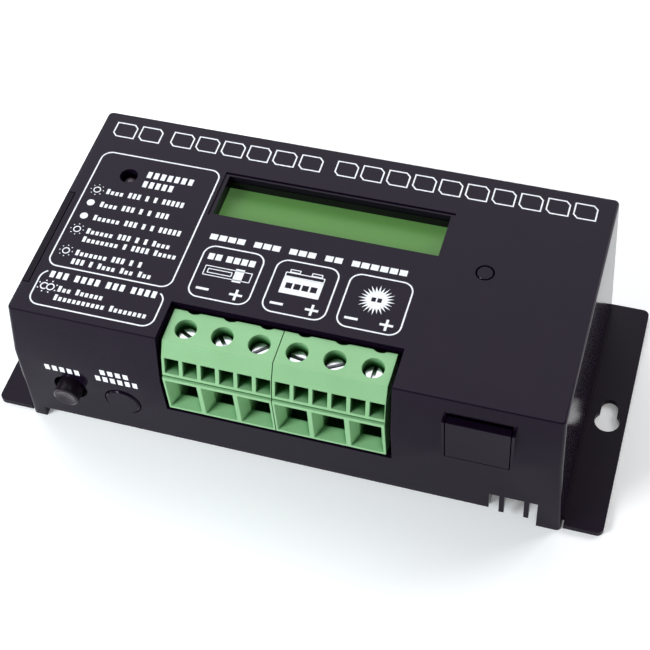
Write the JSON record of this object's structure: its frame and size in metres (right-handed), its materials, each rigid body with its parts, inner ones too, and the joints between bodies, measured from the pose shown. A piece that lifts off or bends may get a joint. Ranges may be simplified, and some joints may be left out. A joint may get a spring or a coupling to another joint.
{
  "type": "solar charge controller",
  "caption": "Low solar charge controller in a black case: screw terminals in front, display window on top, reset button, blanked sockets and keyhole ears for a wall.",
  "frame": {"origin": "middle of the base plate's underside, which lies against the wall or the bench", "axes": "+X along the case towards the blank panel, +Y away from the wire terminals, +Z out through the display"},
  "size_m": [0.1762, 0.0817, 0.0467],
  "materials": {
    "black_plastic": "fine satin texture",
    "button_plastic": "satin",
    "black_metal": "satin black coat",
    "green_plastic": "satin moulded",
    "steel": "bright zinc plating",
    "tinned_brass": "tin plated",
    "display_glass": "clear polariser over a yellow-green background",
    "display_frame": "satin black",
    "led_resin": "diffused, unlit",
    "circuit_board": "solder mask",
    "aluminium": "plain extrusion",
    "chip_epoxy": "moulded epoxy",
    "nylon": "natural",
    "capacitor_sleeve": "shrink sleeve"
  },
  "bodies": {
    "case": {"top_cover": "black_plastic", "base_plate": "black_metal", "front_blank_panel": "black_plastic", "side_blank_panel": "black_plastic", "top_blank_plug": "black_plastic", "sensor_blank_plug": "black_plastic", "reset_switch_body": "chip_epoxy", "status_led": "led_resin", "led_holder": "nylon", "display_bezel": "display_frame", "display_glass": "display_glass", "display_board": "circuit_board", "display_header": "chip_epoxy", "display_spacer_1": "nylon", "display_spacer_2": "nylon", "display_spacer_3": "nylon", "display_spacer_4": "nylon", "main_board": "circuit_board", "board_screw_1": "steel", "board_screw_2": "steel", "board_screw_3": "steel", "board_screw_4": "steel", "cover_screw_1": "steel", "cover_screw_2": "steel", "cover_screw_3": "steel", "cover_screw_4": "steel", "terminal_block_left": "green_plastic", "terminal_block_right": "green_plastic", "contact_pin_1": "tinned_brass", "contact_pin_2": "tinned_brass", "contact_pin_3": "tinned_brass", "contact_pin_4": "tinned_brass", "contact_pin_5": "tinned_brass", "contact_pin_6": "tinned_brass", "heat_sink": "aluminium", "transistor_1": "chip_epoxy", "transistor_2": "chip_epoxy", "transistor_3": "chip_epoxy", "transistor_4": "chip_epoxy", "voltage_regulator": "chip_epoxy", "capacitor_1": "capacitor_sleeve", "capacitor_2": "capacitor_sleeve", "microcontroller": "chip_epoxy", "crystal": "steel", "shunt_strap": "tinned_brass"},
    "reset_key": {"reset_button": "button_plastic", "reset_switch_stem": "chip_epoxy"},
    "screw_1": {"clamp_screw_1": "steel"},
    "cage_1": {"clamp_cage_1": "steel"},
    "screw_2": {"clamp_screw_2": "steel"},
    "cage_2": {"clamp_cage_2": "steel"},
    "screw_3": {"clamp_screw_3": "steel"},
    "cage_3": {"clamp_cage_3": "steel"},
    "screw_4": {"clamp_screw_4": "steel"},
    "cage_4": {"clamp_cage_4": "steel"},
    "screw_5": {"clamp_screw_5": "steel"},
    "cage_5": {"clamp_cage_5": "steel"},
    "screw_6": {"clamp_screw_6": "steel"},
    "cage_6": {"clamp_cage_6": "steel"}
  },
  "joints": [
    {"name": "reset_press", "type": "slide", "parent": "case", "child": "reset_key", "axis": [0, 1, 0], "range_m": [0, 0.001], "stiffness_N_per_m": 1000, "springref_m": -0.0005},
    {"name": "clamp_screw_1_turn", "type": "hinge", "parent": "case", "child": "screw_1", "pos_m": [-0.02641, -0.03135, 0.0408], "axis": [0, 0, 1], "range_deg": [-2160, 0]},
    {"name": "clamp_cage_1_lift", "type": "slide", "parent": "case", "child": "cage_1", "axis": [0, 0, 1], "range_m": [0, 0.0042]},
    {"name": "clamp_screw_2_turn", "type": "hinge", "parent": "case", "child": "screw_2", "pos_m": [-0.01625, -0.03135, 0.0408], "axis": [0, 0, 1], "range_deg": [-2160, 0]},
    {"name": "clamp_cage_2_lift", "type": "slide", "parent": "case", "child": "cage_2", "axis": [0, 0, 1], "range_m": [0, 0.0042]},
    {"name": "clamp_screw_3_turn", "type": "hinge", "parent": "case", "child": "screw_3", "pos_m": [-0.00609, -0.03135, 0.0408], "axis": [0, 0, 1], "range_deg": [-2160, 0]},
    {"name": "clamp_cage_3_lift", "type": "slide", "parent": "case", "child": "cage_3", "axis": [0, 0, 1], "range_m": [0, 0.0042]},
    {"name": "clamp_screw_4_turn", "type": "hinge", "parent": "case", "child": "screw_4", "pos_m": [0.00419, -0.03135, 0.0408], "axis": [0, 0, 1], "range_deg": [-2160, 0]},
    {"name": "clamp_cage_4_lift", "type": "slide", "parent": "case", "child": "cage_4", "axis": [0, 0, 1], "range_m": [0, 0.0042]},
    {"name": "clamp_screw_5_turn", "type": "hinge", "parent": "case", "child": "screw_5", "pos_m": [0.01435, -0.03135, 0.0408], "axis": [0, 0, 1], "range_deg": [-2160, 0]},
    {"name": "clamp_cage_5_lift", "type": "slide", "parent": "case", "child": "cage_5", "axis": [0, 0, 1], "range_m": [0, 0.0042]},
    {"name": "clamp_screw_6_turn", "type": "hinge", "parent": "case", "child": "screw_6", "pos_m": [0.02451, -0.03135, 0.0408], "axis": [0, 0, 1], "range_deg": [-2160, 0]},
    {"name": "clamp_cage_6_lift", "type": "slide", "parent": "case", "child": "cage_6", "axis": [0, 0, 1], "range_m": [0, 0.0042]}
  ],
  "couplings": [
    {"joint": "clamp_screw_1_turn", "follows": "clamp_cage_1_lift", "rad_per_m": -8975.9},
    {"joint": "clamp_screw_2_turn", "follows": "clamp_cage_2_lift", "rad_per_m": -8975.9},
    {"joint": "clamp_screw_3_turn", "follows": "clamp_cage_3_lift", "rad_per_m": -8975.9},
    {"joint": "clamp_screw_4_turn", "follows": "clamp_cage_4_lift", "rad_per_m": -8975.9},
    {"joint": "clamp_screw_5_turn", "follows": "clamp_cage_5_lift", "rad_per_m": -8975.9},
    {"joint": "clamp_screw_6_turn", "follows": "clamp_cage_6_lift", "rad_per_m": -8975.9}
  ]
}
